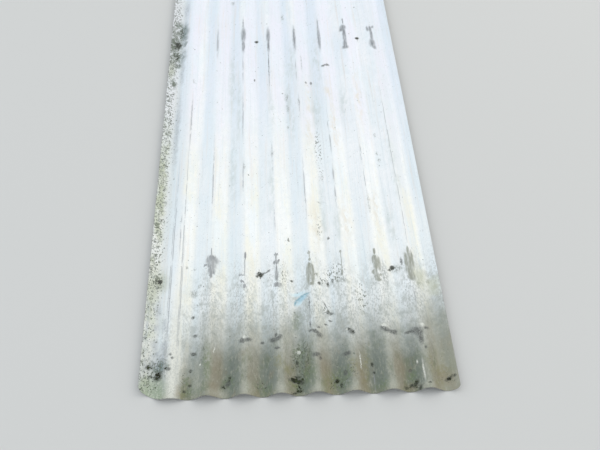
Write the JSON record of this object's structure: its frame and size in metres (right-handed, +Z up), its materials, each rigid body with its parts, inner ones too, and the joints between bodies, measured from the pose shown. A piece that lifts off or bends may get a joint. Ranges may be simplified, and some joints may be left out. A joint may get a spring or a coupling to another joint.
{
  "type": "corrugated metal sheet",
  "caption": "Rectangular corrugated galvanised steel roofing sheet with round waves along its length, turned-up side edges and punched nail holes.",
  "frame": {"origin": "under the middle of the sheet, at the height of its lowest line", "axes": "+Y along the corrugations, away from the end with the snipped corner; +X across the corrugations; +Z up, square to the sheet"},
  "size_m": [0.66, 2.438, 0.0196],
  "materials": {
    "galvanised_steel": "matte"
  },
  "bodies": {
    "root": {"corrugated_sheet": "galvanised_steel"}
  },
  "joints": []
}
